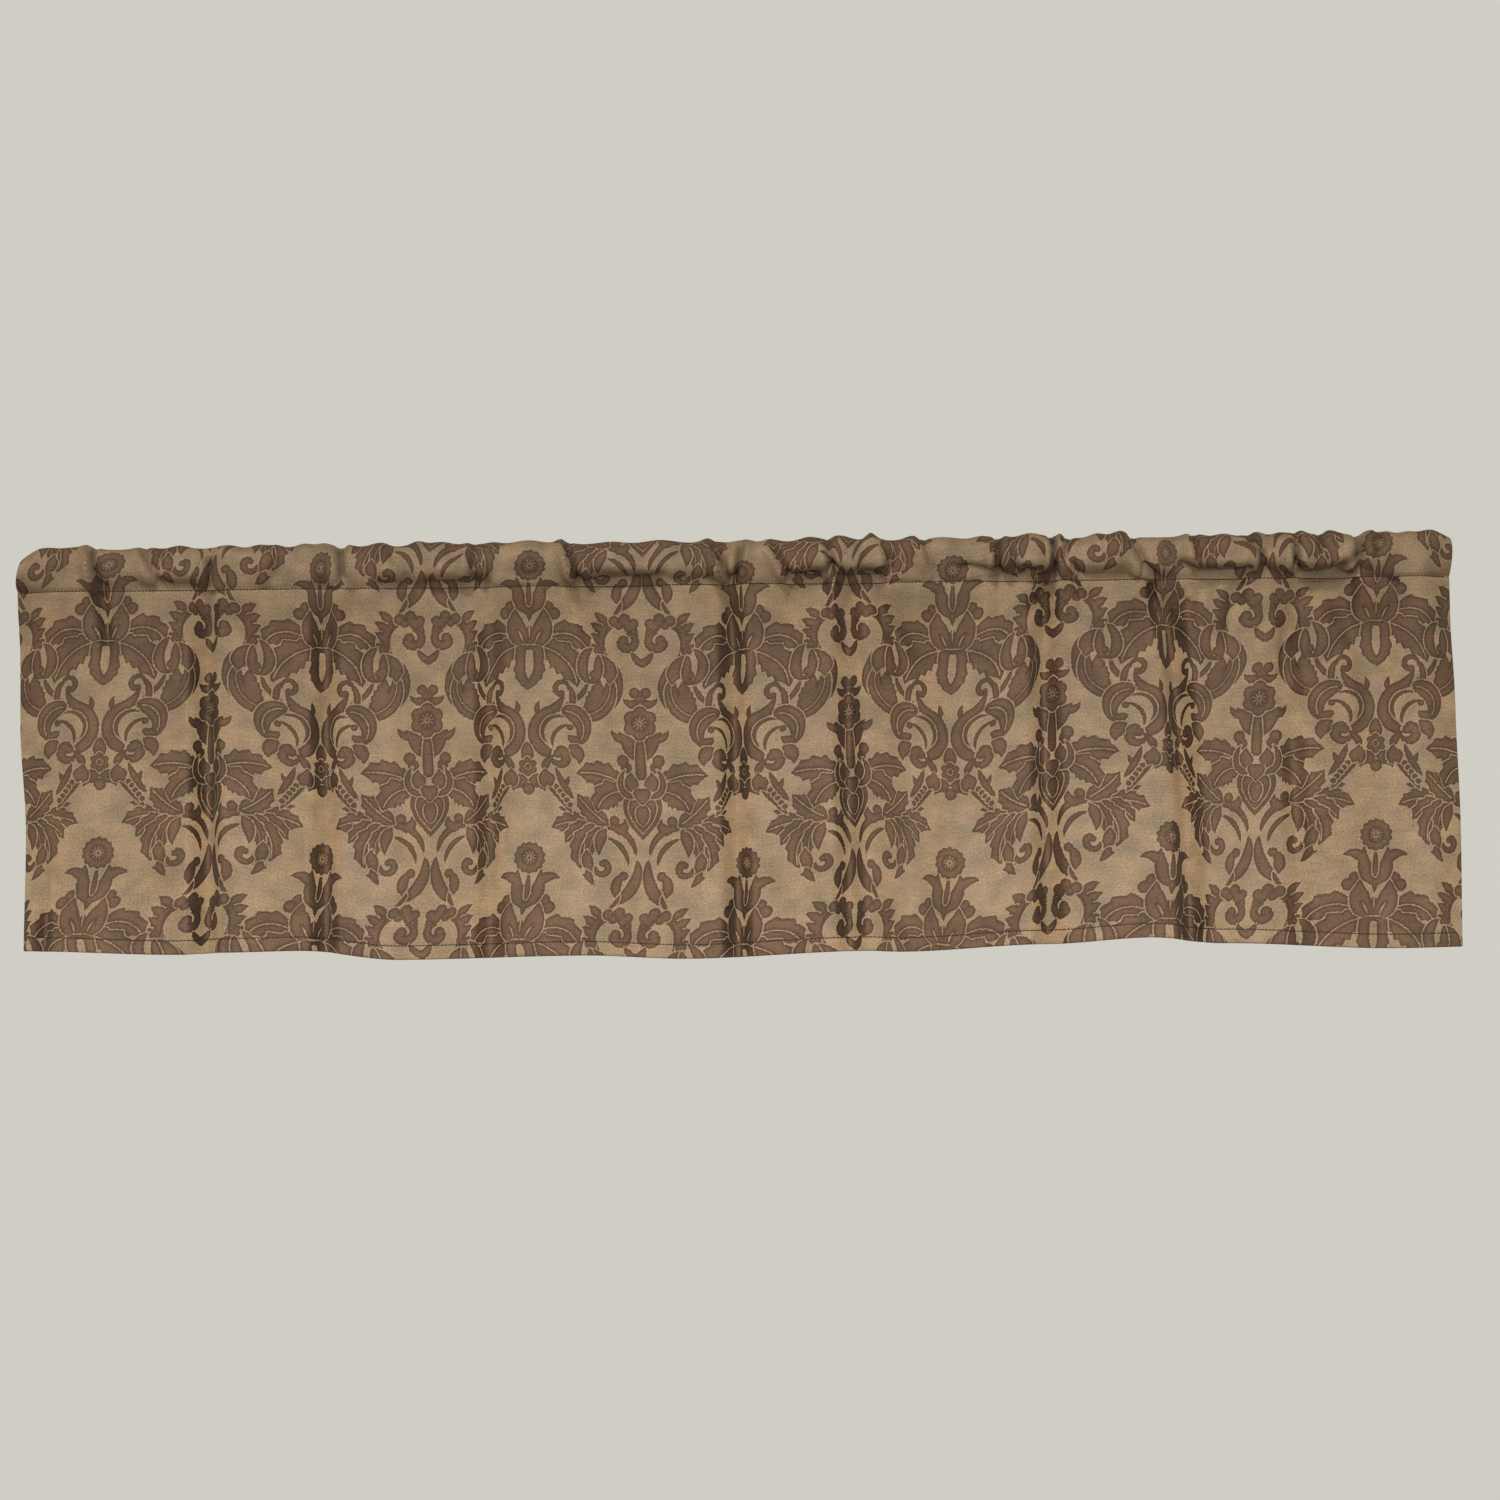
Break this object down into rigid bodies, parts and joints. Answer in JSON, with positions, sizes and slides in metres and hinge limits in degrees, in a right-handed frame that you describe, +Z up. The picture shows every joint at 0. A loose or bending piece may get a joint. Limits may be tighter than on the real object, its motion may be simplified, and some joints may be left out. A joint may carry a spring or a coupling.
{
  "type": "rod-pocket valance",
  "caption": "Short window valance of damask jacquard, hung in soft uneven folds, with a gathered pocket along its top for a slim rod and a narrow stitched hem.",
  "frame": {"origin": "Middle of the top edge of the pocket, where the rod carries the cloth.", "axes": "+X along the rod to the right as seen from the room, +Y from the face of the cloth towards the wall, +Z up."},
  "size_m": [1.2532, 0.0354, 0.3662],
  "materials": {
    "jacquard": "satin-faced damask weave"
  },
  "bodies": {
    "root": {"valance_cloth": "jacquard"}
  },
  "joints": []
}
